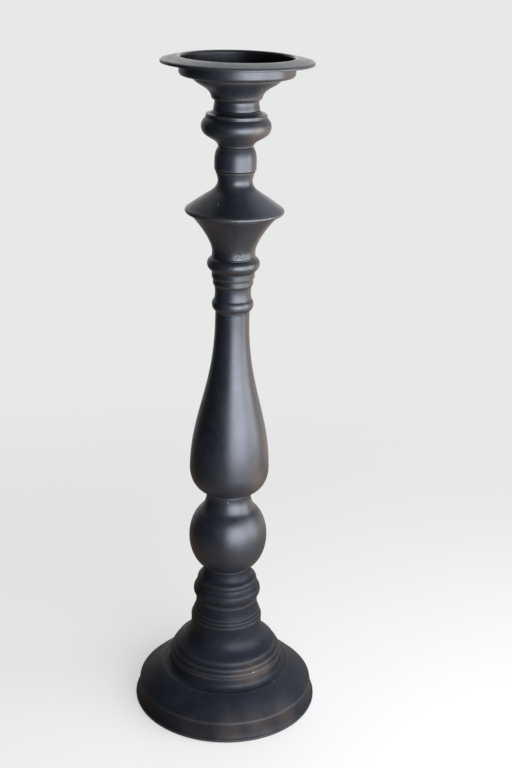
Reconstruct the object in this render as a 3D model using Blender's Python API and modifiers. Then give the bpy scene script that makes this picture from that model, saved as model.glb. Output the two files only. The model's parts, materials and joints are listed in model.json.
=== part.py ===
"""Pillar candle holder: spun sheet-metal shells stacked on one tie rod, on a weighted base.

Blender 4.5. Metres, +Z up, origin on the stem's axis at the level of the surface it stands on.
Every profile is written as (radius, height) in millimetres and turned round the Z axis.
"""

import math

import bpy

MM = 0.001

# Driving sizes, in millimetres.
SHEET = 0.9                 # thickness of the spun stem shells
PLATE = 1.0                 # thickness of the pan, the base shell and the base plate
GAP = 0.3                   # clearance between pieces that touch
STEM_SIDES = 24             # sides of a turned stem piece
WIDE_SIDES = 32             # sides of the pan and the base
SMALL_SIDES = 12            # sides of the inner pieces

ROD_RADIUS = 3.0            # M6 tie rod
ROD_HOLE = 3.4
ROD_FOOT = 1.2              # height of the rod's lower end
ROD_STANDOUT = 4.2          # the rod's end stands this far above the pan's floor
NUT_FLATS = 10.0            # across the flats of an M6 nut
NUT_HEIGHT = 4.0
CAP_NUT_HEIGHT = 2.6        # hexagon of the low cap nut in the pan
CAP_RADIUS = 4.6
CAP_RISE = 2.5
CAP_SINK = 0.2              # the dome starts this far inside the hexagon
WASHER_RADIUS = 9.0
WASHER_THICKNESS = 1.2
LOCK_WASHER_RADIUS = 5.4
BUSH_THICKNESS = 1.6
BUSH_SPIGOT = 2.4           # how far a bush reaches into the hole below it

LIP_RADIUS = 39.2           # crest round the candle recess
LIP_HEIGHT = 482.0
BRIM_RADIUS = 50.8
BRIM_LEVEL = 480.0          # top of the brim's rolled edge
HEM_RADIUS = 1.5            # radius of that rolled edge
RECESS_RADIUS = 37.5
RECESS_FLOOR = 470.5
RECESS_CORNER = 1.6         # radius between the recess's floor and its wall
SEAT_RADIUS = 10.6          # middle of the recess's floor, which carries the washer
SEAT_DISH = 0.2             # the floor's middle is dished this deep round the rod
PAN_UNDERSIDE = RECESS_FLOOR - PLATE

KNOP_TOP = 447.7            # seats where one shell stands on the next
BARREL_TOP = 423.5
DISC_TOP = 407.5
BEADS_TOP = 348.6
VASE_TOP = 310.2
BALL_TOP = 172.1
RINGS_TOP = 111.6
SKIRT_TOP = 84.8
BASE_TOP = 37.0

FUNNEL_HOLE = 8.0           # hole in the flat top of the funnel
KNOP_HOLE = 9.5             # bores of the cast pieces of the stem
BARREL_HOLE = 8.0
BEADS_HOLE = 9.0
RINGS_HOLE = 13.0

BELLY_RADIUS = 28.65
DISC_RADIUS = 33.8
FOOT_RADIUS = 68.7
EDGE_RADIUS = 65.6          # upper edge of the base's side wall
FOOT_ROLL = 1.2             # radius of the rolled foot

PLATE_LEVEL = 2.2           # underside of the base plate
POCKET_RADIUS = 15.0        # pocket in the base plate that holds the lower nut
POCKET_ROOF = 9.0
WEIGHT_TOP = 24.0           # cast weight: its top face and side, under the dome
WEIGHT_RADIUS = 61.0
FELT_THICKNESS = 1.9


# Profiles


def arc(centre, radii, start, end, steps):
    """Points on an arc or an ellipse, between two angles in degrees."""
    points = []
    for step in range(steps + 1):
        angle = math.radians(start + (end - start) * step / steps)
        points.append((centre[0] + radii[0] * math.cos(angle), centre[1] + radii[1] * math.sin(angle)))
    return points


def flow(start, pull_start, pull_end, end, steps):
    """Points on a cubic curve that leaves start towards one pull and reaches end from the other."""
    points = []
    for step in range(steps + 1):
        t = step / steps
        weights = ((1 - t) ** 3, 3 * t * (1 - t) ** 2, 3 * t * t * (1 - t), t ** 3)
        corners = (start, pull_start, pull_end, end)
        points.append(tuple(sum(w * c[i] for w, c in zip(weights, corners)) for i in (0, 1)))
    return points


def pan_profile():
    """Upper face, from the washer seat out over the floor, up the wall, over the lip and down the brim."""
    bend = LIP_RADIUS - RECESS_RADIUS
    floor_corner = (RECESS_RADIUS - RECESS_CORNER, RECESS_FLOOR + RECESS_CORNER)
    hem_centre = (BRIM_RADIUS - HEM_RADIUS, BRIM_LEVEL - HEM_RADIUS)
    return (
        [(ROD_HOLE, RECESS_FLOOR - SEAT_DISH), (SEAT_RADIUS, RECESS_FLOOR)]
        + arc(floor_corner, (RECESS_CORNER, RECESS_CORNER), -90, 0, 2)
        + arc((LIP_RADIUS, LIP_HEIGHT - bend), (bend, bend), 180, 90, 3)
        + arc(hem_centre, (HEM_RADIUS, HEM_RADIUS), 78, -30, 3)
    )


def funnel_profile():
    """Flat top that carries the pan, a trumpet, and a short waisted neck."""
    return (
        [(FUNNEL_HOLE, PAN_UNDERSIDE - GAP), (29.6, PAN_UNDERSIDE - GAP)]
        + flow((30.0, 469.0), (29.0, 464.0), (18.0, 463.0), (17.0, 456.0), 5)
        + flow((15.5, 454.5), (14.5, 452.0), (15.5, 450.0), (15.5, KNOP_TOP + GAP), 3)
    )


def knop_loop():
    """Dished shoulder, rounded lip, shallow groove and an ovoid that tapers to the barrel."""
    return (
        [(KNOP_HOLE, KNOP_TOP), (15.5, KNOP_TOP), (18.0, 445.7)]
        + arc((19.5, 444.5), (1.0, 1.0), 90, 0, 2)
        + arc((15.5, 437.0), (8.0, 7.5), 50, -35, 5)
        + flow((21.5, 432.0), (18.0, 429.0), (12.0, 427.5), (12.0, BARREL_TOP + GAP), 4)
        + [(KNOP_HOLE, BARREL_TOP + GAP)]
    )


def barrel_loop():
    """Tapered shoulder, straight side and a rounded lower edge."""
    return (
        [(BARREL_HOLE, BARREL_TOP)]
        + flow((12.0, BARREL_TOP), (13.0, 421.5), (14.2, 419.0), (14.2, 415.0), 4)
        + arc((13.2, DISC_TOP + GAP + 1.0), (1.0, 1.0), 0, -90, 2)
        + [(BARREL_HOLE, DISC_TOP + GAP)]
    )


def disc_top_profile():
    """Short concave neck that flares into a cone, and the rolled rim that holds the cone below."""
    return (
        [(6.5, DISC_TOP), (13.5, DISC_TOP)]
        + flow((13.3, 406.6), (11.0, 401.5), (11.0, 398.5), (15.0, 394.5), 5)
        + flow((16.0, 393.8), (20.0, 391.0), (27.0, 386.5), (32.3, 382.4), 2)
        + arc((32.0, 380.5), (DISC_RADIUS - 32.0, 1.8), 45, -66, 2)
    )


def disc_cone_profile():
    """Trumpet under the disc's rim, and a short straight neck."""
    return (
        [(30.5, 378.5)]
        + flow((30.5, 378.0), (26.0, 374.0), (15.6, 360.5), (14.9, 352.6), 5)
        + [(15.0, BEADS_TOP + GAP)]
    )


def bead_collar_loop():
    """Large bead, a collar in two steps, a neck and a small bead."""
    return (
        [(BEADS_HOLE, BEADS_TOP), (15.4, BEADS_TOP)]
        + arc((13.5, 343.5), (4.7, 5.0), 66, -64, 5)
        + [(14.8, 333.5), (14.0, 333.0), (14.0, 329.0)]
        + flow((13.0, 327.5), (12.3, 324.5), (12.3, 321.5), (13.0, 318.5), 3)
        + arc((12.0, 314.5), (2.5, 4.0), 55, -60, 4)
        + [(12.9, VASE_TOP + GAP), (BEADS_HOLE, VASE_TOP + GAP)]
    )


def vase_profile():
    """Plain neck, long flowing swell, and a rounded underside."""
    belly = BELLY_RADIUS
    return (
        [(7.5, VASE_TOP), (12.4, VASE_TOP), (12.0, 308.5)]
        + flow((12.0, 303.0), (12.0, 253.0), (belly, 231.0), (belly, 191.0), 8)
        + arc((14.5, 190.5), (belly - 14.5, 18.0), -22, -78, 4)
        + [(17.0, BALL_TOP + GAP)]
    )


def ball_profile():
    """Waisted collar, a tall ball and a short neck."""
    return (
        [(12.4, BALL_TOP), (16.5, BALL_TOP)]
        + flow((16.4, 170.5), (15.7, 167.5), (16.8, 163.0), (19.5, 159.0), 3)
        + arc((12.0, 136.0), (BELLY_RADIUS - 12.0, 25.5), 60, -70, 9)
        + [(17.2, RINGS_TOP + GAP)]
    )


def ring_collar_loop():
    """Concave cone, a narrow ring and a wide bead that tucks in to the skirt's neck."""
    return (
        [(RINGS_HOLE, RINGS_TOP)]
        + flow((17.2, RINGS_TOP), (17.2, 107.5), (18.5, 104.5), (20.0, 103.2), 3)
        + arc((18.8, 99.5), (3.4, 3.7), 50, -15, 2)
        + arc((21.0, 91.0), (4.0, 5.0), 60, -65, 4)
        + [(22.8, SKIRT_TOP + GAP), (RINGS_HOLE, SKIRT_TOP + GAP)]
    )


def skirt_profile():
    """Neck with three fine rings, a flaring skirt, and two bead rings and a step over the cove."""
    rings = [(24.5 + i, 74.5 - 2.6 * i) for i in range(3)]
    return (
        [(11.0, SKIRT_TOP), (22.8, SKIRT_TOP), (23.4, 76.8)]
        + rings
        + flow((26.5, 68.0), (26.0, 58.0), (28.0, 52.5), (35.5, 48.4), 4)
        + arc((34.5, 44.5), (3.5, 3.9), 45, -5, 1)
        + arc((37.5, 41.0), (3.2, 3.0), 45, -5, 1)
        + arc((39.9, 37.6), (2.5, 3.2), 45, 0, 1)
        + [(41.9, BASE_TOP + GAP)]
    )


def base_profile():
    """Cove, sloping dome, tapered side wall and rolled foot."""
    foot_centre = (FOOT_RADIUS - FOOT_ROLL, FOOT_ROLL)
    return (
        [(29.0, BASE_TOP), (41.8, BASE_TOP)]
        + arc((47.0, 33.2), (5.0, 5.0), 186, 262, 4)
        + flow((48.0, 28.2), (54.0, 25.5), (60.0, 19.5), (64.8, 15.0), 4)
        + [(EDGE_RADIUS, 13.2), (66.0, 8.0), (67.2, 3.0)]
        + arc(foot_centre, (FOOT_ROLL, FOOT_ROLL), 70, -150, 6)
    )


def plate_profile():
    """Flat sheet with a raised pocket in the middle that the lower nut sits in."""
    roof = POCKET_ROOF
    return [
        (ROD_HOLE, roof),
        (POCKET_RADIUS - 2.5, roof),
        (POCKET_RADIUS - 1.0, roof - 0.8),
        (POCKET_RADIUS, PLATE_LEVEL + PLATE + 0.8),
        (POCKET_RADIUS + 1.0, PLATE_LEVEL + PLATE),
        (EDGE_RADIUS - 2.6, PLATE_LEVEL + PLATE),
    ]


def weight_loop():
    """Cast disc with a boss, and a pocket below that clears the plate's raised middle."""
    level = PLATE_LEVEL + PLATE + GAP
    roof = POCKET_ROOF + GAP
    return [
        (ROD_HOLE, WEIGHT_TOP),
        (40.0, WEIGHT_TOP),
        (44.0, WEIGHT_TOP - 4.0),
        (WEIGHT_RADIUS - 3.0, 12.0),
        (WEIGHT_RADIUS, 9.0),
        (WEIGHT_RADIUS, level),
        (POCKET_RADIUS + 2.0, level),
        (POCKET_RADIUS + 1.0, roof),
        (ROD_HOLE, roof),
    ]


def ring_loop(inner, outer, low, high):
    """Section of a flat ring."""
    return [(inner, high), (outer, high), (outer, low), (inner, low)]


def bush_loop(seat, upper, hole):
    """Disc that fits inside the shell above and stands on the seat, with a spigot in the hole."""
    top = seat + GAP + BUSH_THICKNESS
    return [
        (ROD_HOLE, top),
        (upper - GAP, top),
        (upper - GAP, seat + GAP),
        (hole - 2 * GAP, seat + GAP),
        (hole - 2 * GAP, seat - BUSH_SPIGOT),
        (ROD_HOLE, seat - BUSH_SPIGOT),
    ]


# Building blocks


def clear_scene():
    for obj in list(bpy.data.objects):
        bpy.data.objects.remove(obj, do_unlink=True)


def collection(name):
    made = bpy.data.collections.new(name)
    bpy.context.scene.collection.children.link(made)
    return made


def material(name, colour, roughness, metallic):
    made = bpy.data.materials.new(name)
    made.use_nodes = True
    shader = made.node_tree.nodes["Principled BSDF"]
    shader.inputs["Base Color"].default_value = (*colour, 1.0)
    shader.inputs["Roughness"].default_value = roughness
    shader.inputs["Metallic"].default_value = metallic
    made.diffuse_color = (*colour, 1.0)
    return made


def add_part(name, mesh, finish, parent):
    part = bpy.data.objects.new(name, mesh)
    parts.objects.link(part)
    part.data.materials.append(finish)
    part.parent = parent
    return part


def turn(part, sides):
    """Screw modifier: one full turn round Z."""
    screw = part.modifiers.new("Turn", "SCREW")
    screw.steps = sides
    screw.render_steps = sides
    screw.use_merge_vertices = True
    screw.merge_threshold = 0.00001
    screw.use_smooth_shade = True


def outline_mesh(name, points, closed):
    edges = [(i, i + 1) for i in range(len(points) - 1)]
    if closed:
        edges.append((len(points) - 1, 0))
    mesh = bpy.data.meshes.new(name)
    mesh.from_pydata([(radius * MM, 0.0, height * MM) for radius, height in points], edges, [])
    return mesh


def spun_shell(name, profile, thickness, sides, finish, parent):
    """Sheet-metal shell: its profile is the visible face, and the sheet lies behind it."""
    part = add_part(name, outline_mesh(name, profile, False), finish, parent)
    turn(part, sides)
    wall = part.modifiers.new("Wall", "SOLIDIFY")
    wall.thickness = thickness * MM
    wall.offset = -1.0
    wall.use_even_offset = True
    return part


def turned_solid(name, loop, sides, finish, parent):
    """Solid piece turned from a closed section that keeps clear of the axis."""
    part = add_part(name, outline_mesh(name, loop, True), finish, parent)
    turn(part, sides)
    return part


def cylinder(name, radius, low, high, sides):
    bpy.ops.mesh.primitive_cylinder_add(
        vertices=sides,
        radius=radius * MM,
        depth=(high - low) * MM,
        location=(0.0, 0.0, (low + high) / 2 * MM),
    )
    made = bpy.context.object
    made.name = name
    for owner in list(made.users_collection):
        owner.objects.unlink(made)
    return made


def into(obj, place, finish=None, parent=None):
    place.objects.link(obj)
    if finish:
        obj.data.materials.append(finish)
    obj.parent = parent
    return obj


def hide_as_tool(obj):
    """Moves a cutter, or a shape that is joined to a part, to the cutters' collection."""
    for owner in list(obj.users_collection):
        owner.objects.unlink(obj)
    cutters.objects.link(obj)
    obj.hide_render = True
    obj.display_type = "WIRE"
    return obj


def cutter(name, radius, low, high):
    return hide_as_tool(cylinder(name, radius, low, high, SMALL_SIDES))


def cut(part, tool, operation="DIFFERENCE"):
    boolean = part.modifiers.new(operation.title(), "BOOLEAN")
    boolean.operation = operation
    boolean.object = tool


def soften(part, width):
    bevel = part.modifiers.new("Edges", "BEVEL")
    bevel.width = width * MM
    bevel.segments = 1
    bevel.limit_method = "ANGLE"
    bevel.angle_limit = math.radians(40)


# Sub-parts


def make_pan(finish, parent):
    return spun_shell("candle_pan", pan_profile(), PLATE, WIDE_SIDES, finish, parent)


def make_stem(shell_finish, parent):
    """The stem from the pan down to the skirt: spun shells, and cast pieces with a plain bore."""
    shells = (
        ("pan_funnel", funnel_profile),
        ("drip_disc_top", disc_top_profile),
        ("drip_disc_cone", disc_cone_profile),
        ("vase_shell", vase_profile),
        ("ball_shell", ball_profile),
        ("base_skirt", skirt_profile),
    )
    for name, profile in shells:
        spun_shell(name, profile(), SHEET, STEM_SIDES, shell_finish, parent)
    castings = (
        ("upper_knop", knop_loop),
        ("barrel_sleeve", barrel_loop),
        ("bead_collar", bead_collar_loop),
        ("ring_collar", ring_collar_loop),
    )
    for name, loop in castings:
        turned_solid(name, loop(), STEM_SIDES, shell_finish, parent)


def make_bushes(finish, parent):
    """One centring bush at each seat: seat height, bore of the piece above, hole in the one below."""
    seats = (
        (KNOP_TOP, 13.8, KNOP_HOLE),
        (BARREL_TOP, KNOP_HOLE, BARREL_HOLE),
        (DISC_TOP, BARREL_HOLE, 6.5),
        (BEADS_TOP, 13.9, BEADS_HOLE),
        (VASE_TOP, BEADS_HOLE, 7.5),
        (BALL_TOP, 15.4, 12.4),
        (RINGS_TOP, 16.2, RINGS_HOLE),
        (SKIRT_TOP, RINGS_HOLE, 11.0),
        (BASE_TOP, 40.4, 29.0),
    )
    for number, (seat, upper, hole) in enumerate(seats, start=1):
        turned_solid(f"centring_bush_{number}", bush_loop(seat, upper, hole), SMALL_SIDES, finish, parent)


def make_base(shell_finish, cast_finish, felt_finish, parent):
    spun_shell("base_shell", base_profile(), PLATE, WIDE_SIDES, shell_finish, parent)
    turned_solid("base_weight", weight_loop(), STEM_SIDES, cast_finish, parent)
    spun_shell("base_plate", plate_profile(), PLATE, STEM_SIDES, shell_finish, parent)
    felt = ring_loop(POCKET_RADIUS + 2.0, EDGE_RADIUS - 2.6, 0.0, FELT_THICKNESS)
    turned_solid("felt_pad", felt, WIDE_SIDES, felt_finish, parent)


def make_rod(finish, parent):
    high = RECESS_FLOOR + ROD_STANDOUT
    rod = into(cylinder("tie_rod", ROD_RADIUS, ROD_FOOT, high, SMALL_SIDES), parts, finish, parent)
    soften(rod, 0.5)
    rod.data.shade_smooth()
    rod.data.set_sharp_from_angle(angle=math.radians(35))


def make_nut(name, low, finish, parent):
    corner = NUT_FLATS / math.sqrt(3)
    nut = into(cylinder(name, corner, low, low + NUT_HEIGHT, 6), parts, finish, parent)
    soften(nut, 0.4)
    cut(nut, cutter(f"{name}_bore", ROD_HOLE, low - 1.0, low + NUT_HEIGHT + 1.0))


def make_cap_nut(low, finish, parent):
    """Low cap nut on top of the pan washer: a hexagon with a domed cap over the rod's end."""
    corner = NUT_FLATS / math.sqrt(3)
    high = low + CAP_NUT_HEIGHT
    nut = into(cylinder("cap_nut", corner, low, high, 6), parts, finish, parent)
    bpy.ops.mesh.primitive_uv_sphere_add(segments=16, ring_count=8, radius=CAP_RADIUS * MM)
    cap = bpy.context.object
    cap.name = "cap_nut_dome"
    cap.scale.z = CAP_RISE / CAP_RADIUS
    cap.location.z = (high - CAP_SINK) * MM
    hide_as_tool(cap)
    cut(nut, cap, "UNION")
    bore_end = RECESS_FLOOR + ROD_STANDOUT + GAP
    cut(nut, cutter("cap_nut_bore", ROD_HOLE, low - 1.0, bore_end))


def make_upper_fasteners(finish, parent):
    """Washer and cap nut in the pan, coated with the pan."""
    washer_low = RECESS_FLOOR + GAP
    washer = ring_loop(ROD_HOLE, WASHER_RADIUS, washer_low, washer_low + WASHER_THICKNESS - GAP)
    turned_solid("pan_washer", washer, SMALL_SIDES, finish, parent)
    make_cap_nut(washer_low + WASHER_THICKNESS, finish, parent)


def make_lower_fasteners(finish, parent):
    """Plain washer, spring washer and nut in the base plate's pocket."""
    roof = POCKET_ROOF - PLATE - GAP
    plain = ring_loop(ROD_HOLE, WASHER_RADIUS, roof - WASHER_THICKNESS, roof)
    turned_solid("lower_washer", plain, SMALL_SIDES, finish, parent)
    spring_high = roof - WASHER_THICKNESS - GAP
    spring = ring_loop(ROD_HOLE, LOCK_WASHER_RADIUS, spring_high - WASHER_THICKNESS, spring_high)
    turned_solid("lock_washer", spring, SMALL_SIDES, finish, parent)
    make_nut("lower_nut", spring_high - WASHER_THICKNESS - GAP - NUT_HEIGHT, finish, parent)


clear_scene()
parts = collection("pillar_candle_holder")
cutters = collection("cutters")
holder = bpy.data.objects.new("holder_origin", None)
parts.objects.link(holder)

black_coat = material("black_powder_coat", (0.018, 0.020, 0.024), 0.42, 0.0)
pressed_steel = material("pressed_steel", (0.45, 0.45, 0.46), 0.38, 1.0)
zinc_steel = material("zinc_plated_steel", (0.60, 0.60, 0.62), 0.30, 1.0)
cast_iron = material("cast_iron", (0.09, 0.09, 0.095), 0.70, 1.0)
black_felt = material("black_felt", (0.012, 0.012, 0.013), 0.95, 0.0)

make_pan(black_coat, holder)
make_stem(black_coat, holder)
make_bushes(pressed_steel, holder)
make_base(black_coat, cast_iron, black_felt, holder)
make_rod(zinc_steel, holder)
make_upper_fasteners(black_coat, holder)
make_lower_fasteners(zinc_steel, holder)
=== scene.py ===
"""Pillar candle holder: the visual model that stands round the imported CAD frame.

The stem's shells and castings are turned again here at full fineness, with rounded arrises, slight
hand-spun waviness and real sheet edges. Profiles are (radius, height) in millimetres above the floor.
"""

import json
import math

import bmesh
import bpy
import numpy as np
from mathutils import Matrix, Vector


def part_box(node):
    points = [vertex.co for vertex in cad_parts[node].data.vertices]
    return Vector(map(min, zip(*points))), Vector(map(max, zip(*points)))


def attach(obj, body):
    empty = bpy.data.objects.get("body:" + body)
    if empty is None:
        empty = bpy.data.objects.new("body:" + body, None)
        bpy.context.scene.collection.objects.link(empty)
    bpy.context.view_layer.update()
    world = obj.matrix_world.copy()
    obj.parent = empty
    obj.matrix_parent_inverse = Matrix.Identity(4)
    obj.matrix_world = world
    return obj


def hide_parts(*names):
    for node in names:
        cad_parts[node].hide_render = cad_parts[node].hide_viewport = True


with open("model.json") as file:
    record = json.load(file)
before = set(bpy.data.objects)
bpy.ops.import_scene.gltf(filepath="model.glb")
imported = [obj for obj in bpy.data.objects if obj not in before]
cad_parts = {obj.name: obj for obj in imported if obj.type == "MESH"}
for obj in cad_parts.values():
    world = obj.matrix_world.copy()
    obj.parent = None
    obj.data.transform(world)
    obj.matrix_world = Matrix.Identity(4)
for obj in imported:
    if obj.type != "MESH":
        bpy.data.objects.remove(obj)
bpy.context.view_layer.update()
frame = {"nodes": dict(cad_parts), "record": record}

MM = 0.001
SHEET = 0.9              # thickness of the spun shells, mm
PLATE = 1.0              # thickness of the pan and the base shell, mm
SIDES = 144              # round the stem
WIDE_SIDES = 192         # round the pan and the base
ARRIS = 0.45             # rounding left on an edge by the coating, mm
ROD_HOLE = 3.4           # radius of the hole for the tie rod, mm
NUT_FLATS = 10.0         # across the flats of a nut, mm
RUN_RISE = 0.7           # how far a run of coating stands out, against its width
LONGEST = 2.0            # longest straight step along a profile, mm

TABLE_RADIUS = 0.50      # m
FLOOR_LIT = 0.70         # the floor takes the lamps' light out to here, inside the nearest panel, m
FLOOR_DROP = 0.3         # the floor lies just under the felt, mm

# The point of view, in metres and degrees.
CAMERA_DISTANCE = 0.850
CAMERA_HEIGHT = 0.573
CAMERA_PITCH = 20.5
CAMERA_ROLL = 1.6
CAMERA_YAW = 1.2
CAMERA_LENS = 59.8


# Profiles


def arc(centre, radii, start, end, steps):
    """Points on an arc or an ellipse, between two angles in degrees."""
    angles = np.radians(np.linspace(start, end, steps + 1))
    return [(centre[0] + radii[0] * math.cos(a), centre[1] + radii[1] * math.sin(a)) for a in angles]


def flow(start, pull_start, pull_end, end, steps):
    """Points on a cubic curve that leaves start towards one pull and reaches end from the other."""
    points = []
    for t in np.linspace(0.0, 1.0, steps + 1):
        weights = ((1 - t) ** 3, 3 * t * (1 - t) ** 2, 3 * t * t * (1 - t), t ** 3)
        corners = (start, pull_start, pull_end, end)
        points.append(tuple(sum(w * c[i] for w, c in zip(weights, corners)) for i in (0, 1)))
    return points


def through(points, steps=4):
    """A smooth curve through the points."""
    knots = [Vector(p) for p in points]
    knots = [knots[0] * 2 - knots[1]] + knots + [knots[-1] * 2 - knots[-2]]
    out = []
    for a, b, c, d in zip(knots, knots[1:], knots[2:], knots[3:]):
        for t in np.arange(steps) / steps:
            slope = (c - a) * t
            square = (a * 2 - b * 5 + c * 4 - d) * t * t
            cube = (b * 3 - a - c * 3 + d) * t ** 3
            out.append(tuple((b * 2 + slope + square + cube) / 2))
    return out + [tuple(points[-1])]


def pan_profile():
    """Washer seat, recess floor, wall, lip, brim and rolled hem."""
    return (
        [(3.4, 470.3), (10.6, 470.5)]
        + arc((35.9, 472.1), (1.6, 1.6), -90, 0, 8)
        + arc((39.2, 480.3), (1.7, 1.7), 180, 90, 10)
        + [(44.0, 481.2)]
        + arc((49.3, 478.5), (1.5, 1.5), 78, -30, 12)
    )


def funnel_profile():
    """Flat top under the pan, trumpet, and a short waisted neck."""
    return (
        [(8.0, 469.2), (29.6, 469.2)]
        + flow((30.0, 469.0), (29.0, 464.0), (18.0, 463.0), (17.0, 456.0), 22)
        + [(16.5, 455.0), (15.5, 454.5)]
        + flow((15.0, 454.0), (14.5, 452.0), (15.5, 450.0), (15.5, 448.0), 8)
    )


def knop_profile():
    """Dished shoulder, rounded lip, shallow groove and an ovoid that tapers to the barrel."""
    return (
        [(9.5, 447.7), (15.5, 447.7)]
        + flow((16.0, 447.5), (17.0, 446.0), (18.0, 445.5), (19.0, 445.5), 6)
        + arc((19.5, 444.5), (1.0, 1.0), 90, 0, 7)
        + arc((15.5, 437.0), (8.0, 7.5), 50, -35, 18)
        + flow((21.5, 432.0), (18.0, 429.0), (12.0, 427.5), (12.0, 423.8), 12)
        + [(9.5, 423.8)]
    )


def barrel_profile():
    """Tapered shoulder, straight side and a rounded lower edge."""
    return (
        [(8.0, 423.5)]
        + flow((12.0, 423.5), (13.0, 421.5), (14.2, 419.0), (14.2, 415.0), 10)
        + arc((13.2, 408.8), (1.0, 1.0), 0, -80, 5)
        + [(8.0, 407.8)]
    )


def disc_profile():
    """Concave neck, shallow cone and the rolled rim."""
    return (
        [(6.5, 407.5), (13.5, 407.5)]
        + flow((13.5, 407.0), (11.0, 401.5), (11.0, 398.5), (15.0, 394.5), 16)
        + flow((16.0, 393.8), (20.0, 391.0), (27.0, 386.5), (32.3, 382.4), 14)
        + arc((32.0, 380.5), (1.8, 1.8), 62, -66, 12)
    )


def cone_profile():
    """Trumpet under the disc's rim, and a short straight neck."""
    return (
        [(30.5, 378.5)]
        + flow((30.5, 378.0), (26.0, 374.0), (15.6, 360.5), (14.9, 352.6), 24)
        + [(15.0, 348.9)]
    )


def bead_profile():
    """Large bead, a collar in two steps, a neck and a small bead."""
    return (
        [(9.0, 348.6), (15.4, 348.6)]
        + arc((13.5, 343.5), (4.7, 5.0), 66, -64, 18)
        + [(15.0, 338.0), (14.8, 333.5), (14.0, 333.0), (14.0, 329.0), (13.2, 328.0)]
        + flow((13.0, 327.5), (12.3, 324.5), (12.3, 321.5), (13.0, 318.5), 8)
        + arc((12.0, 314.5), (2.5, 4.0), 55, -60, 14)
        + [(12.9, 310.5), (9.0, 310.5)]
    )


def vase_profile():
    """Plain neck, long flowing swell, and a rounded underside."""
    return (
        [(7.5, 310.2), (12.4, 310.2), (12.0, 309.0), (12.0, 305.0)]
        + flow((12.0, 303.0), (12.0, 253.0), (28.65, 231.0), (28.65, 191.0), 64)
        + arc((14.5, 190.5), (14.15, 18.0), -2, -78, 20)
        + [(17.0, 172.4)]
    )


def ball_profile():
    """Waisted collar, a tall ball and a short neck."""
    return (
        [(12.4, 172.1), (16.5, 172.1)]
        + flow((16.5, 171.5), (15.7, 167.5), (16.8, 163.0), (19.5, 159.0), 14)
        + arc((12.0, 136.0), (16.65, 25.5), 60, -70, 40)
        + [(17.2, 111.9)]
    )


def rings_profile():
    """Concave cone, a narrow ring and a wide bead that tucks in to the skirt's neck."""
    return (
        [(13.0, 111.6)]
        + flow((17.2, 111.6), (17.2, 107.5), (18.5, 104.5), (20.0, 103.2), 12)
        + arc((18.8, 99.5), (3.4, 3.7), 60, -15, 9)
        + [(22.8, 97.2)]
        + arc((21.0, 91.0), (4.0, 5.0), 60, -65, 16)
        + [(22.8, 85.1), (13.0, 85.1)]
    )


def skirt_profile():
    """Neck with three fine rings, a flaring skirt, two bead rings and a rounded step over the cove."""
    rings = []
    for i in range(3):
        rings += arc((23.7 + i, 74.5 - 2.6 * i), (0.8, 1.2), 90, 0, 4)
    return (
        [(11.0, 84.8), (22.8, 84.8), (23.0, 80.0), (23.4, 76.8)]
        + rings
        + flow((26.5, 68.0), (26.0, 58.0), (28.0, 52.5), (35.5, 48.4), 18)
        + arc((34.5, 44.5), (3.5, 3.9), 75, -5, 9)
        + arc((37.5, 41.0), (3.2, 3.0), 65, -5, 8)
        + arc((39.9, 37.6), (2.5, 3.2), 65, 0, 8)
        + [(41.8, 37.3)]
    )


def base_profile():
    """Cove, sloping dome, tapered side wall and rolled foot."""
    return (
        [(29.0, 37.0), (41.8, 37.0)]
        + arc((47.0, 33.2), (5.0, 5.0), 186, 262, 14)
        + flow((48.0, 28.2), (54.0, 25.5), (60.0, 19.5), (64.8, 15.0), 20)
        + [(65.5, 14.2), (65.8, 12.5), (66.0, 8.0), (66.5, 5.0), (67.2, 3.0)]
        + arc((67.5, 1.2), (1.2, 1.2), 70, -150, 14)
    )


def plate_profile():
    """Flat sheet with a raised pocket in the middle that the lower nut sits in."""
    return [(3.4, 9.0), (12.5, 9.0), (14.0, 8.2), (15.0, 4.0), (16.0, 3.2), (63.0, 3.2)]


# Mesh making


def rounded(points, closed, arris):
    """The profile with each sharp corner turned into a small curve, and long straights divided."""
    count = len(points)
    points = [Vector(p) for p in points]
    out = []
    for i, here in enumerate(points):
        ends = not closed and i in (0, count - 1)
        before, after = points[i - 1], points[(i + 1) % count]
        if ends:
            out.append(here)
            continue
        a, b = before - here, after - here
        turn = math.degrees(a.angle(b))
        if turn > 166:
            out.append(here)
            continue
        reach_a = min(arris, 0.42 * a.length)
        reach_b = min(arris, 0.42 * b.length)
        start, end = here + a.normalized() * reach_a, here + b.normalized() * reach_b
        for t in (0.0, 0.33, 0.67, 1.0):
            out.append(start * (1 - t) ** 2 + here * 2 * t * (1 - t) + end * t * t)
    divided = []
    for i, here in enumerate(out):
        divided.append(here)
        if i == len(out) - 1 and not closed:
            break
        step = out[(i + 1) % len(out)] - here
        parts = math.ceil(step.length / LONGEST)
        divided += [here + step * k / parts for k in range(1, parts)]
    return np.array([tuple(p) for p in divided])


def convexity(points, closed, span=1.1):
    """How far each profile point stands proud of its surroundings, in -1..1: edges up, creases down."""
    count = len(points)
    index = np.arange(count)
    steps = np.linalg.norm(np.diff(points, axis=0, append=points[:1]), axis=1)
    out = np.zeros(count)
    for i in index:
        sides = []
        for direction in (-1, 1):
            left, j = span, i
            while left > 0:
                k = j + direction
                if not closed and (k < 0 or k >= count):
                    break
                k %= count
                length = steps[min(j, k)] if abs(j - k) == 1 else steps[-1]
                if length >= left:
                    j_point = points[j] + (points[k] - points[j]) * (left / max(length, 1e-9))
                    sides.append(j_point)
                    break
                left -= length
                j = k
        if len(sides) < 2:
            continue
        chord = sides[1] - sides[0]
        inward = np.array([chord[1], -chord[0]]) / max(np.linalg.norm(chord), 1e-9)
        out[i] = (points[i] - (sides[0] + sides[1]) / 2) @ -inward / (0.35 * span)
    return np.clip(out, -1, 1)


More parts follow.
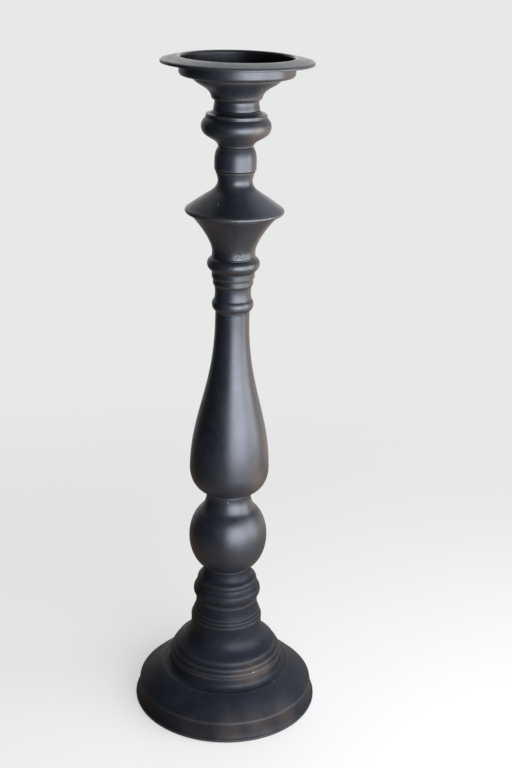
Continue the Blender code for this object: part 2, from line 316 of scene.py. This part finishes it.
def waviness(seed, count=7):
    """A smooth, repeatable unevenness over (angle, height), about -1..1."""
    rng = np.random.default_rng(seed)
    waves = rng.integers(0, 6, count)
    rises = rng.uniform(-90.0, 90.0, count)
    phases = rng.uniform(0, 2 * math.pi, count)

    def at(angle, height):
        total = 0.0
        for m, n, p in zip(waves, rises, phases):
            total = total + np.sin(m * angle + n * height + p)
        return total / math.sqrt(count) / 1.4

    return at


def turned(name, profile, sides, closed, seed, arris=ARRIS, wobble=0.05):
    """Mesh turned from a profile, with the attributes that the coating reads."""
    points = rounded(profile, closed, arris)
    proud = convexity(points, closed)
    count = len(points)
    angles = np.arange(sides) * 2 * math.pi / sides
    uneven = waviness(seed)
    verts = np.zeros((sides, count, 3))
    for s, angle in enumerate(angles):
        shift = uneven(angle, points[:, 1] * MM) * wobble
        radius = points[:, 0] + shift * np.clip((points[:, 0] - 8.0) / 4.0, 0, 1)
        verts[s, :, 0] = radius * math.cos(angle)
        verts[s, :, 1] = radius * math.sin(angle)
        verts[s, :, 2] = points[:, 1]
    faces = []
    last = count if closed else count - 1
    for s in range(sides):
        t = (s + 1) % sides
        for i in range(last):
            j = (i + 1) % count
            faces.append((s * count + i, s * count + j, t * count + j, t * count + i))
    mesh = bpy.data.meshes.new(name)
    mesh.from_pydata((verts.reshape(-1, 3) * MM).tolist(), [], faces)
    layer = mesh.attributes.new("proud", "FLOAT", "POINT")
    layer.data.foreach_set("value", np.tile(proud, sides).astype(np.float32))
    mesh.validate()
    return mesh


def face_out(mesh):
    """Turns the faces outwards."""
    work = bmesh.new()
    work.from_mesh(mesh)
    bmesh.ops.recalc_face_normals(work, faces=work.faces)
    work.to_mesh(mesh)
    work.free()


def applied(obj):
    """Replaces the object's mesh by the evaluated one, and drops the modifiers."""
    graph = bpy.context.evaluated_depsgraph_get()
    mesh = bpy.data.meshes.new_from_object(obj.evaluated_get(graph))
    obj.modifiers.clear()
    obj.data = mesh
    return obj


def add_piece(name, mesh, finish):
    obj = bpy.data.objects.new(name, mesh)
    bpy.context.scene.collection.objects.link(obj)
    mesh.materials.clear()
    mesh.materials.append(finish)
    return obj


def settle(obj, node=None):
    """Shades the piece, lets it ride on the holder's one body, and hides the CAD node it stands for."""
    obj.data.shade_smooth()
    obj.data.set_sharp_from_angle(angle=math.radians(52))
    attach(obj, "root")
    if node:
        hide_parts(node)
    return obj


def stand_in_place(mesh, node):
    """Moves the mesh so that its lowest point is at its CAD node's lowest point."""
    lowest = min(v.co.z for v in mesh.vertices)
    mesh.transform(Matrix.Translation((0.0, 0.0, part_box(node)[0].z - lowest)))


def shell(name, node, profile, thickness, sides, finish, seed, slot="black_coat", **extra):
    """Spun sheet: the profile is the visible face and the sheet lies behind it."""
    mesh = turned(name, profile, sides, False, seed, **extra)
    obj = add_piece(name, mesh, finish)
    wall = obj.modifiers.new("Wall", "SOLIDIFY")
    wall.thickness = thickness * MM
    wall.offset = -1.0
    wall.use_even_offset = True
    applied(obj)
    face_out(obj.data)
    stand_in_place(obj.data, node)
    return settle(obj, node)


def casting(name, node, profile, sides, finish, seed, slot="black_coat", **extra):
    mesh = turned(name, profile, sides, True, seed, **extra)
    face_out(mesh)
    obj = add_piece(name, mesh, finish)
    stand_in_place(obj.data, node)
    return settle(obj, node)


def hexagon(name, low, high, bore_top, dome=0.0):
    """Mesh of a chamfered hexagon with a bore from below, and a dome on top where there is one."""
    corner = NUT_FLATS / math.sqrt(3)
    rings = [(corner - 0.45, low), (corner, low + 0.45), (corner, high - 0.45), (corner - 0.5, high)]
    sides = 96
    work = bmesh.new()
    rows = []
    for radius, height in rings:
        row = []
        for k in range(sides):
            angle = 2 * math.pi * k / sides
            off = (angle + math.pi / 6) % (math.pi / 3) - math.pi / 6
            flat = NUT_FLATS / 2 / math.cos(math.pi / 6 - abs(off))
            reach = min(radius, flat + 0.02)
            row.append((reach * math.cos(angle), reach * math.sin(angle), height))
        rows.append(row)
    top = [(4.55, high + 0.05)]
    if dome:
        for a in np.radians(np.linspace(8, 84, 9)):
            top.append((4.5 * math.cos(a), high + 0.1 + dome * math.sin(a)))
    else:
        top += [(ROD_HOLE + 0.5, high), (ROD_HOLE, high - 0.4)]
    for radius, height in top:
        turns = [2 * math.pi * k / sides for k in range(sides)]
        rows.append([(radius * math.cos(a), radius * math.sin(a), height) for a in turns])
    bore = [(ROD_HOLE, bore_top), (ROD_HOLE, low + 0.5), (ROD_HOLE + 0.5, low)]
    if not dome:
        bore = bore[1:]
    inner = [[(radius * math.cos(2 * math.pi * k / sides), radius * math.sin(2 * math.pi * k / sides), height)
              for k in range(sides)] for radius, height in bore]
    loops = [[work.verts.new(Vector(p) * MM) for p in row] for row in rows + inner]

    def bridge(first, second):
        for k in range(sides):
            j = (k + 1) % sides
            work.faces.new((first[k], first[j], second[j], second[k]))

    outside = loops[:len(rows)]
    inside = loops[len(rows):]
    for first, second in zip(outside, outside[1:]):
        bridge(first, second)
    if dome:
        work.faces.new(outside[-1])
        work.faces.new(inside[0])
    else:
        bridge(outside[-1], inside[0])
    for first, second in zip(inside, inside[1:]):
        bridge(first, second)
    bridge(inside[-1], outside[0])
    bmesh.ops.recalc_face_normals(work, faces=work.faces)
    mesh = bpy.data.meshes.new(name)
    work.to_mesh(mesh)
    work.free()
    return mesh


def nut(name, node, finish, bore_top, dome=0.0):
    """Nut that fills the height of its CAD node."""
    low, high = (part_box(node)[i].z / MM for i in (0, 1))
    mesh = hexagon(name, low, high - dome - 0.1 if dome else high, bore_top, dome)
    return settle(add_piece(name, mesh, finish), node)


def ring(name, node, inner, finish, seed, arris=0.25, sides=96):
    """Flat ring with rounded edges that fills its CAD node."""
    low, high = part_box(node)
    outer, bottom, top = high.x / MM, low.z / MM, high.z / MM
    loop = [(inner, top), (outer, top), (outer, bottom), (inner, bottom)]
    mesh = turned(name, loop, sides, True, seed, arris=arris, wobble=0.0)
    face_out(mesh)
    return settle(add_piece(name, mesh, finish), node)


def surface_radius(profile, height):
    """Radius of the visible surface at a height, both in millimetres."""
    reach = 0.0
    for (r0, z0), (r1, z1) in zip(profile, profile[1:]):
        if min(z0, z1) <= height <= max(z0, z1) and z0 != z1:
            reach = max(reach, r0 + (r1 - r0) * (height - z0) / (z1 - z0))
    return reach


def on_surface(profile, azimuth, height, lift):
    """Point on a turned piece, azimuth degrees to the right of the front."""
    a = math.radians(azimuth)
    radius = surface_radius(profile, height) + lift
    return Vector((radius * math.sin(a), -radius * math.cos(a), height))


def add_run(work, profile, stops, width):
    """A thin run of coating along the surface, thicker in the middle and at its end."""
    path = [on_surface(profile, a, z, 0.0) for a, z in through(stops, 6)]
    sides = 8
    rows = []
    for i, here in enumerate(path):
        ahead = (path[min(i + 1, len(path) - 1)] - path[max(i - 1, 0)]).normalized()
        out = Vector((here.x, here.y, 0.0)).normalized()
        across = ahead.cross(out).normalized()
        share = i / (len(path) - 1)
        swell = width * (0.35 + 0.65 * math.sin(math.pi * min(share * 1.1, 1.0)) ** 0.5)
        angles = [2 * math.pi * k / sides for k in range(sides)]
        rise = out * swell * RUN_RISE
        ring_points = [here + across * swell * math.cos(a) + rise * math.sin(a) for a in angles]
        rows.append([work.verts.new(point * MM) for point in ring_points])
    for first, second in zip(rows, rows[1:]):
        for k in range(sides):
            j = (k + 1) % sides
            work.faces.new((first[k], first[j], second[j], second[k]))
    work.faces.new(rows[0])
    work.faces.new(rows[-1])


def add_nib(work, profile, azimuth, height, size, rng):
    """A small lump in the coating, half sunk in the surface."""
    made = bmesh.ops.create_icosphere(work, subdivisions=2, radius=1.0)
    centre = on_surface(profile, azimuth, height, size * 0.15)
    out = Vector((centre.x, centre.y, 0.0)).normalized()
    stretch = rng.uniform(0.8, 1.3, 3)
    for vert in made["verts"]:
        shape = Vector(vert.co[i] * stretch[i] * size for i in range(3)) * rng.uniform(0.9, 1.1)
        vert.co = (centre + shape - out * shape.dot(out) * 0.4) * MM


def trim(name, make, finish):
    """Small lumps and runs as one piece that rides on the holder."""
    work = bmesh.new()
    make(work)
    bmesh.ops.recalc_face_normals(work, faces=work.faces)
    mesh = bpy.data.meshes.new(name)
    work.to_mesh(mesh)
    work.free()
    return settle(add_piece(name, mesh, finish))


# Materials


class Nodes:
    """Short names for making a material's nodes."""

    def __init__(self, name):
        self.material = bpy.data.materials.new(name)
        self.material.use_nodes = True
        self.tree = self.material.node_tree
        self.shader = self.tree.nodes["Principled BSDF"]

    def add(self, kind, **settings):
        node = self.tree.nodes.new(kind)
        for key, value in settings.items():
            setattr(node, key, value)
        return node

    def link(self, source, target):
        self.tree.links.new(source, target)

    def put(self, socket, value):
        if isinstance(value, bpy.types.NodeSocket):
            self.link(value, socket)
        else:
            socket.default_value = value

    def place(self):
        return self.add("ShaderNodeTexCoord").outputs["Object"]

    def maths(self, operation, first, second=0.0, third=0.0, clamp=False):
        node = self.add("ShaderNodeMath", operation=operation, use_clamp=clamp)
        for socket, value in zip(node.inputs, (first, second, third)):
            self.put(socket, value)
        return node.outputs[0]

    def spread(self, value, low, high, to_low=0.0, to_high=1.0, smooth=True):
        node = self.add("ShaderNodeMapRange")
        node.interpolation_type = "SMOOTHSTEP" if smooth else "LINEAR"
        node.clamp = True
        ends = (("From Min", low), ("From Max", high), ("To Min", to_low), ("To Max", to_high))
        for key, v in (("Value", value),) + ends:
            self.put(node.inputs[key], v)
        return node.outputs["Result"]

    def noise(self, where, scale, detail=3.0, roughness=0.55, distortion=0.0):
        node = self.add("ShaderNodeTexNoise")
        self.put(node.inputs["Vector"], where)
        node.inputs["Scale"].default_value = scale
        node.inputs["Detail"].default_value = detail
        node.inputs["Roughness"].default_value = roughness
        node.inputs["Distortion"].default_value = distortion
        return node.outputs["Fac"]

    def mix(self, factor, first, second):
        node = self.add("ShaderNodeMix", data_type="RGBA")
        self.put(node.inputs[0], factor)
        self.put(node.inputs[6], first)
        self.put(node.inputs[7], second)
        return node.outputs[2]

    def stretch(self, where, scale):
        node = self.add("ShaderNodeVectorMath", operation="MULTIPLY")
        self.put(node.inputs[0], where)
        node.inputs[1].default_value = scale
        return node.outputs[0]

    def bump(self, height, strength, distance, under=None):
        node = self.add("ShaderNodeBump")
        node.inputs["Strength"].default_value = strength
        node.inputs["Distance"].default_value = distance
        self.put(node.inputs["Height"], height)
        if under is not None:
            self.link(under, node.inputs["Normal"])
        return node.outputs["Normal"]


def rgb(r, g, b):
    return (r, g, b, 1.0)


def powder_coat(name, gloss=0.0, dusty=1.0, shine=0.5, rubbed_and_reflected=()):
    """Satin black powder coat on spun steel: fine orange peel, faint lathe marks, dust, edges lightened by
    wear, painted shade in the creases, and warm brown spots that are painted reflection and highlight where
    they face the lit right-front and scuffed-through coat elsewhere.
    """
    n = Nodes(name)
    where = n.place()
    proud = n.add("ShaderNodeAttribute", attribute_name="proud").outputs["Fac"]
    edge = n.spread(proud, 0.12, 0.75)
    crease_shade = n.spread(proud, -0.10, -0.65)

    cloud = n.noise(where, 38.0, 4.0, 0.6)
    mottle = n.noise(where, 210.0, 3.0, 0.6)
    peel = n.noise(where, 1150.0, 2.0, 0.5)
    grit = n.noise(where, 3400.0, 1.0, 0.5)
    lathe = n.noise(n.stretch(where, (14.0, 14.0, 1700.0)), 1.0, 3.0, 0.65)
    scuff_field = n.noise(n.stretch(where, (120.0, 120.0, 620.0)), 1.0, 4.0, 0.7, 0.6)
    scuff = n.spread(scuff_field, 0.66, 0.78)

    base = n.mix(n.spread(cloud, 0.3, 0.7), rgb(0.0056, 0.0070, 0.0092), rgb(0.0085, 0.0102, 0.0135))
    base = n.mix(n.maths("MULTIPLY", n.spread(mottle, 0.5, 0.75), 0.35), base, rgb(0.015, 0.017, 0.020))
    base = n.mix(n.maths("MULTIPLY", edge, 0.45), base, rgb(0.040, 0.036, 0.032))
    # Darker in the creases: painted shade.
    base = n.mix(n.maths("MULTIPLY", crease_shade, 0.35), base, rgb(0.008, 0.008, 0.009))
    base = n.mix(n.maths("MULTIPLY", scuff, 0.30), base, rgb(0.085, 0.085, 0.090))

    # Warm brown spots: painted reflection of the table and a painted highlight where they face the lit
    # right-front, scuffed-through coat elsewhere.
    if rubbed_and_reflected:
        broken = n.noise(where, 60.0, 3.0, 0.5)
        worn_and_reflected = 0.0
        for azimuth, reach, height, radius, amount in rubbed_and_reflected:
            a = math.radians(azimuth)
            away = n.add("ShaderNodeVectorMath", operation="DISTANCE")
            n.link(where, away.inputs[0])
            away.inputs[1].default_value = Vector((reach * math.sin(a), -reach * math.cos(a), height)) * MM
            spot = n.spread(away.outputs["Value"], radius * MM, radius * 0.1 * MM, 0.0, amount)
            worn_and_reflected = n.maths("MAXIMUM", worn_and_reflected, spot)
        worn_and_reflected = n.maths("MULTIPLY", worn_and_reflected, n.spread(broken, 0.10, 0.70))
        # The spots' warm brown colour: partly painted reflection and highlight, partly bare brown ground.
        base = n.mix(worn_and_reflected, base, rgb(0.088, 0.062, 0.044))

    cells = n.add("ShaderNodeTexVoronoi")
    n.put(cells.inputs["Vector"], where)
    cells.inputs["Scale"].default_value = 190.0
    picked = n.add("ShaderNodeSeparateColor")
    n.link(cells.outputs["Color"], picked.inputs["Color"])
    rare = n.maths("GREATER_THAN", picked.outputs["Red"], 0.955)
    near = n.spread(cells.outputs["Distance"], 0.085, 0.035)
    speck = n.maths("MULTIPLY", n.maths("MULTIPLY", rare, near), dusty)
    base = n.mix(n.maths("MULTIPLY", speck, 0.85), base, rgb(0.42, 0.42, 0.41))
    n.link(base, n.shader.inputs["Base Color"])

    rough = n.spread(cloud, 0.25, 0.75, 0.36 - gloss, 0.43 - gloss)
    rough = n.maths("ADD", rough, n.spread(mottle, 0.3, 0.7, -0.025, 0.03))
    rough = n.maths("ADD", rough, n.maths("MULTIPLY", n.maths("SUBTRACT", lathe, 0.5), 0.10))
    rough = n.maths("SUBTRACT", rough, n.maths("MULTIPLY", edge, 0.06))
    rough = n.maths("ADD", rough, n.maths("MULTIPLY", speck, 0.35), clamp=True)
    n.link(rough, n.shader.inputs["Roughness"])

    relief = n.bump(cloud, 0.25, 0.00035)
    relief = n.bump(lathe, 0.30, 0.000040, relief)
    relief = n.bump(peel, 0.35, 0.000035, relief)
    relief = n.bump(grit, 0.25, 0.000012, relief)
    n.link(relief, n.shader.inputs["Normal"])
    n.shader.inputs["IOR"].default_value = 1.5
    n.shader.inputs["Specular IOR Level"].default_value = shine
    return n.material


def plain_metal(name, dark, light, roughness, metallic):
    """Inner hardware: brushed, with stains and a fine bump."""
    n = Nodes(name)
    where = n.place()
    cloud = n.noise(where, 160.0, 4.0, 0.6)
    brush = n.noise(n.stretch(where, (300.0, 300.0, 2400.0)), 1.0, 3.0, 0.6)
    n.link(n.mix(n.spread(cloud, 0.3, 0.7), dark, light), n.shader.inputs["Base Color"])
    rough = n.maths("ADD", n.spread(cloud, 0.3, 0.7, roughness - 0.05, roughness + 0.08),
                    n.maths("MULTIPLY", n.maths("SUBTRACT", brush, 0.5), 0.12), clamp=True)
    n.link(rough, n.shader.inputs["Roughness"])
    n.link(n.bump(brush, 0.3, 0.00003, n.bump(cloud, 0.3, 0.00012)), n.shader.inputs["Normal"])
    n.shader.inputs["Metallic"].default_value = metallic
    return n.material


def felt(name):
    n = Nodes(name)
    where = n.place()
    fibre = n.noise(n.stretch(where, (2600.0, 900.0, 1500.0)), 1.0, 5.0, 0.7, 1.2)
    cloud = n.noise(where, 120.0, 3.0, 0.6)
    base = n.mix(n.spread(fibre, 0.35, 0.75), rgb(0.007, 0.007, 0.008), rgb(0.030, 0.030, 0.032))
    base = n.mix(n.maths("MULTIPLY", n.spread(cloud, 0.5, 0.8), 0.3), base, rgb(0.045, 0.044, 0.042))
    n.link(base, n.shader.inputs["Base Color"])
    n.shader.inputs["Roughness"].default_value = 0.96
    n.shader.inputs["Sheen Weight"].default_value = 0.35
    n.shader.inputs["Sheen Roughness"].default_value = 0.5
    n.link(n.bump(fibre, 0.6, 0.00035), n.shader.inputs["Normal"])
    return n.material


# The holder

# Warm brown spots in the coat: azimuth, radius, height, reach, amount. The spots on the right-front of the
# knop, cone, vase, ring step and base wall are painted reflections of the warm table, with a painted
# highlight on the knop. The rest are brown ground where the coat is scuffed through.
STEM_RUBS_AND_REFLECTIONS = (
    (40, 22.0, 434.0, 14.0, 0.34), (75, 25.0, 371.0, 14.0, 0.40), (48, 27.5, 186.0, 14.0, 0.38),
    (38, 28.0, 199.0, 9.0, 0.24), (120, 26.0, 150.0, 14.0, 0.26), (-150, 28.0, 200.0, 16.0, 0.28),
    (200, 22.0, 436.0, 14.0, 0.28), (-100, 15.0, 340.0, 11.0, 0.24),
)
FOOT_RUBS_AND_REFLECTIONS = (
    (16, 42.0, 39.0, 12.0, 0.28), (30, 42.0, 38.5, 14.0, 0.40), (46, 42.0, 38.5, 11.0, 0.28),
    (4, 66.0, 8.5, 20.0, 0.20), (24, 66.0, 9.0, 22.0, 0.26), (44, 66.0, 9.5, 18.0, 0.22),
    (-20, 66.0, 8.0, 18.0, 0.16), (150, 66.0, 9.0, 20.0, 0.24), (-120, 42.0, 38.5, 13.0, 0.26),
)
coat = powder_coat("black_powder_coat", rubbed_and_reflected=STEM_RUBS_AND_REFLECTIONS)
# A less shiny copy of the same coat for the ring collar, skirt and base: painted shade, darker because the
# light falls off towards the foot.
foot_coat_shaded = powder_coat("black_powder_coat_foot_shade", gloss=-0.02, shine=0.10, rubbed_and_reflected=FOOT_RUBS_AND_REFLECTIONS)

shell("pan_body", "candle_pan", pan_profile(), PLATE, WIDE_SIDES, coat, 11, wobble=0.03)
shell("funnel_body", "pan_funnel", funnel_profile(), SHEET, SIDES, coat, 12)
casting("knop_body", "upper_knop", knop_profile(), SIDES, coat, 13)
casting("barrel_body", "barrel_sleeve", barrel_profile(), SIDES, coat, 14)
shell("disc_body", "drip_disc_top", disc_profile(), SHEET, SIDES, coat, 15, wobble=0.04)
shell("cone_body", "drip_disc_cone", cone_profile(), SHEET, SIDES, coat, 16)
casting("bead_body", "bead_collar", bead_profile(), SIDES, coat, 17)
shell("vase_body", "vase_shell", vase_profile(), SHEET, SIDES, coat, 18, wobble=0.07)
shell("ball_body", "ball_shell", ball_profile(), SHEET, SIDES, coat, 19)
casting("rings_body", "ring_collar", rings_profile(), SIDES, foot_coat_shaded, 20)
shell("skirt_body", "base_skirt", skirt_profile(), SHEET, SIDES, foot_coat_shaded, 21)
shell("base_body", "base_shell", base_profile(), PLATE, WIDE_SIDES, foot_coat_shaded, 22, wobble=0.04)


def make_runs(work):
    """Runs of coating on the cone, the large bead and the ring collar; stops are azimuth and height."""
    lower_cone = cone_profile()
    bead = bead_profile()
    hook = [(2, 349.6), (8, 350.6), (13, 352.6), (17, 354.4), (18.5, 352.0), (19.5, 349.8)]
    add_run(work, lower_cone, hook, 0.32)
    add_run(work, lower_cone, [(12, 351.2), (17, 350.9), (23, 350.4), (28, 351.6)], 0.26)
    add_run(work, bead, [(-47, 347.6), (-52, 346.4), (-55, 344.6), (-53, 342.6)], 0.28)
    add_run(work, bead, [(-12, 333.4), (4, 333.2), (20, 333.4), (34, 333.2)], 0.16)
    add_run(work, bead, [(150, 347.0), (156, 345.0), (154, 342.0)], 0.26)
    add_run(work, rings_profile(), [(17, 98.6), (19, 97.2), (18, 96.0)], 0.30)


# Small lumps in the coating: outline, azimuth, height, size.
NIBS = (
    (vase_profile, -20, 306.4, 0.42), (vase_profile, -46, 286.0, 0.28), (vase_profile, 24, 262.0, 0.30),
    (vase_profile, -30, 253.0, 0.32), (vase_profile, -60, 232.0, 0.30), (vase_profile, 46, 198.0, 0.34),
    (barrel_profile, -38, 418.5, 0.30), (disc_profile, -24, 402.2, 0.30), (disc_profile, -30, 389.0, 0.32),
    (disc_profile, 160, 390.0, 0.34), (skirt_profile, -34, 41.2, 0.62), (skirt_profile, -22, 39.2, 0.52),
    (base_profile, -62, 23.0, 0.42), (base_profile, 32, 12.6, 0.40), (base_profile, 165, 20.0, 0.45),
    (ball_profile, 14, 128.0, 0.34), (ball_profile, 190, 140.0, 0.34), (knop_profile, -42, 436.0, 0.28),
)


def make_nibs(work):
    """Every small lump in the coating."""
    rng = np.random.default_rng(31)
    for profile, azimuth, height, size in NIBS:
        add_nib(work, profile(), azimuth, height, size, rng)


trim("coat_runs", make_runs, powder_coat("glossy_black_run", gloss=0.26, dusty=0.0))
trim("coat_nibs", make_nibs, powder_coat("pale_nib", gloss=0.10, dusty=0.0))

finishes = {
    "black_coat": coat,
    "black_plate": plain_metal("black_dip", rgb(0.014, 0.015, 0.017), rgb(0.028, 0.029, 0.031), 0.5, 0.0),
    "pressed_steel": plain_metal("pressed_steel", rgb(0.36, 0.36, 0.37), rgb(0.50, 0.50, 0.50), 0.4, 1.0),
    "zinc_steel": plain_metal("zinc_plate", rgb(0.50, 0.50, 0.52), rgb(0.66, 0.66, 0.67), 0.3, 1.0),
    "cast_weight": plain_metal("cast_iron", rgb(0.05, 0.05, 0.052), rgb(0.12, 0.115, 0.11), 0.72, 1.0),
    "felt": felt("black_felt"),
}
nut("cap_nut_body", "cap_nut", coat, 475.0, dome=2.2)
ring("pan_washer_body", "pan_washer", ROD_HOLE, coat, 23)
ring("felt_body", "felt_pad", 17.0, finishes["felt"], 24, arris=0.6, sides=WIDE_SIDES)
ring("lower_washer_body", "lower_washer", ROD_HOLE, finishes["zinc_steel"], 25)
ring("lock_washer_body", "lock_washer", ROD_HOLE, finishes["zinc_steel"], 26)
nut("lower_nut_body", "lower_nut", finishes["zinc_steel"], 0.0)
shell("plate_body", "base_plate", plate_profile(), PLATE, SIDES, finishes["black_plate"], 27,
      slot="black_plate")

for row in frame["record"]["subparts"]:
    node = frame["nodes"][row["node"]]
    if not node.hide_render:
        node.data.materials.clear()
        node.data.materials.append(finishes[row["material_slot"]])


# The stage, the lights and the camera


def make_floor():
    mesh = bpy.data.meshes.new("floor")
    work = bmesh.new()
    bmesh.ops.create_circle(work, cap_ends=True, segments=96, radius=14.0)
    work.to_mesh(mesh)
    work.free()
    floor = bpy.data.objects.new("floor", mesh)
    floor.location.z = -FLOOR_DROP * MM
    bpy.context.scene.collection.objects.link(floor)
    n = Nodes("pale_floor")
    where = n.place()
    away = n.add("ShaderNodeVectorMath", operation="LENGTH")
    n.link(where, away.inputs[0])
    near = n.mix(n.noise(where, 9.0, 2.0), rgb(0.27, 0.255, 0.235), rgb(0.285, 0.27, 0.25))
    n.link(near, n.shader.inputs["Base Color"])
    n.shader.inputs["Roughness"].default_value = 0.8
    n.shader.inputs["Emission Color"].default_value = rgb(0.50, 0.50, 0.49)
    n.shader.inputs["Emission Strength"].default_value = 1.0
    glow = n.add("ShaderNodeEmission")
    glow.inputs["Color"].default_value = rgb(0.80, 0.81, 0.80)
    blend = n.add("ShaderNodeMixShader")
    n.link(n.spread(away.outputs["Value"], 0.16, FLOOR_LIT), blend.inputs[0])
    n.link(n.shader.outputs[0], blend.inputs[1])
    n.link(glow.outputs[0], blend.inputs[2])
    out = n.tree.nodes["Material Output"]
    n.link(blend.outputs[0], out.inputs["Surface"])
    mesh.materials.append(n.material)
    floor.visible_glossy = False
    floor.visible_diffuse = False
    floor.visible_shadow = False
    return floor


def make_table():
    """The warm table top that the holder's undersides reflect: only reflections and bounce light see it."""
    mesh = bpy.data.meshes.new("table_top")
    work = bmesh.new()
    bmesh.ops.create_circle(work, cap_ends=True, segments=64, radius=TABLE_RADIUS)
    work.to_mesh(mesh)
    work.free()
    table = bpy.data.objects.new("table_top", mesh)
    table.location.z = -MM
    bpy.context.scene.collection.objects.link(table)
    n = Nodes("warm_table")
    grain = n.noise(n.stretch(n.place(), (3.0, 40.0, 3.0)), 1.0, 4.0, 0.6, 0.8)
    n.link(n.mix(grain, rgb(0.24, 0.15, 0.09), rgb(0.36, 0.25, 0.165)), n.shader.inputs["Base Color"])
    n.shader.inputs["Roughness"].default_value = 0.6
    mesh.materials.append(n.material)
    table.visible_camera = False
    table.visible_shadow = False


def softbox(name, azimuth, centre_height, distance, width, height, radiance, colour):
    """Upright panel facing the stem, azimuth degrees to the right of the camera's side."""
    data = bpy.data.lights.new(name, "AREA")
    data.shape = "RECTANGLE"
    data.size, data.size_y = width, height
    data.energy = radiance * math.pi * width * height
    data.color = colour
    lamp = bpy.data.objects.new(name, data)
    a = math.radians(azimuth)
    lamp.location = (distance * math.sin(a), -distance * math.cos(a), centre_height)
    target = Vector((0.0, 0.0, 0.27))
    back = (lamp.location - target).normalized()
    lamp.rotation_mode = "QUATERNION"
    lamp.rotation_quaternion = back.to_track_quat("Z", "Y")
    lamp.visible_camera = False
    bpy.context.scene.collection.objects.link(lamp)
    return lamp


def make_world():
    world = bpy.data.worlds.new("studio")
    bpy.context.scene.world = world
    world.use_nodes = True
    tree = world.node_tree
    tree.nodes.clear()
    add = tree.nodes.new
    coords = add("ShaderNodeTexCoord").outputs["Generated"]

    def lobe(direction, inner, outer):
        """1 within inner degrees of a direction, falling smoothly to 0 at outer degrees."""
        dot = add("ShaderNodeVectorMath")
        dot.operation = "DOT_PRODUCT"
        tree.links.new(coords, dot.inputs[0])
        dot.inputs[1].default_value = Vector(direction).normalized()
        ramp = add("ShaderNodeMapRange")
        ramp.interpolation_type = "SMOOTHSTEP"
        ramp.inputs["From Min"].default_value = math.cos(math.radians(outer))
        ramp.inputs["From Max"].default_value = math.cos(math.radians(inner))
        tree.links.new(dot.outputs["Value"], ramp.inputs["Value"])
        return ramp.outputs["Result"]

    total = None
    for direction, inner, outer, colour in LOBES:
        scaled = add("ShaderNodeVectorMath")
        scaled.operation = "SCALE"
        scaled.inputs[0].default_value = colour
        tree.links.new(lobe(direction, inner, outer), scaled.inputs["Scale"])
        if total is None:
            total = scaled.outputs[0]
            continue
        join = add("ShaderNodeVectorMath")
        join.operation = "ADD"
        tree.links.new(total, join.inputs[0])
        tree.links.new(scaled.outputs[0], join.inputs[1])
        total = join.outputs[0]
    room = add("ShaderNodeBackground")
    tree.links.new(total, room.inputs["Color"])
    paper = add("ShaderNodeBackground")
    paper.inputs["Color"].default_value = rgb(0.80, 0.81, 0.80)
    path = add("ShaderNodeLightPath")
    blend = add("ShaderNodeMixShader")
    tree.links.new(path.outputs["Is Camera Ray"], blend.inputs[0])
    tree.links.new(room.outputs[0], blend.inputs[1])
    tree.links.new(paper.outputs[0], blend.inputs[2])
    out = add("ShaderNodeOutputWorld")
    tree.links.new(blend.outputs[0], out.inputs["Surface"])


# direction, full within degrees, gone beyond degrees, radiance
LOBES = (
    ((0.05, 0.95, 0.30), 25, 74, (0.80, 0.81, 0.83)),
    ((0.00, 1.00, 0.12), 8, 26, (1.10, 1.10, 1.10)),
    ((0.30, 0.40, 0.86), 10, 46, (0.62, 0.68, 0.78)),
    ((0.85, 0.30, -0.45), 15, 50, (1.60, 1.25, 0.92)),
    ((0.35, -0.60, -0.70), 10, 50, (0.30, 0.22, 0.16)),
    ((-0.60, -0.55, 0.30), 0, 170, (0.024, 0.026, 0.032)),
)


def make_camera():
    data = bpy.data.cameras.new("camera")
    data.lens = CAMERA_LENS
    data.sensor_width = 36.0
    data.clip_start, data.clip_end = 0.02, 60.0
    camera = bpy.data.objects.new("camera", data)
    pitch, roll, yaw = (math.radians(v) for v in (CAMERA_PITCH, CAMERA_ROLL, CAMERA_YAW))
    forward = Vector((math.sin(yaw) * math.cos(pitch), math.cos(yaw) * math.cos(pitch), -math.sin(pitch)))
    right = Vector((math.cos(yaw), -math.sin(yaw), 0.0))
    up = right.cross(forward)
    right_rolled = right * math.cos(roll) + up * math.sin(roll)
    up_rolled = up * math.cos(roll) - right * math.sin(roll)
    turn = Matrix((right_rolled, up_rolled, -forward)).transposed()
    camera.matrix_world = Matrix.Translation((0.0, -CAMERA_DISTANCE, CAMERA_HEIGHT)) @ turn.to_4x4()
    bpy.context.scene.collection.objects.link(camera)
    bpy.context.scene.camera = camera


make_floor()
make_table()
make_world()
softbox("window_front", 29.0, 0.31, 0.8, 0.80, 0.58, 13.5, (0.88, 0.95, 1.10))
softbox("window_side", 77.0, 0.33, 0.8, 0.50, 0.54, 9.5, (0.92, 0.96, 1.05))
make_camera()
bpy.context.scene.view_settings.view_transform = "Standard"
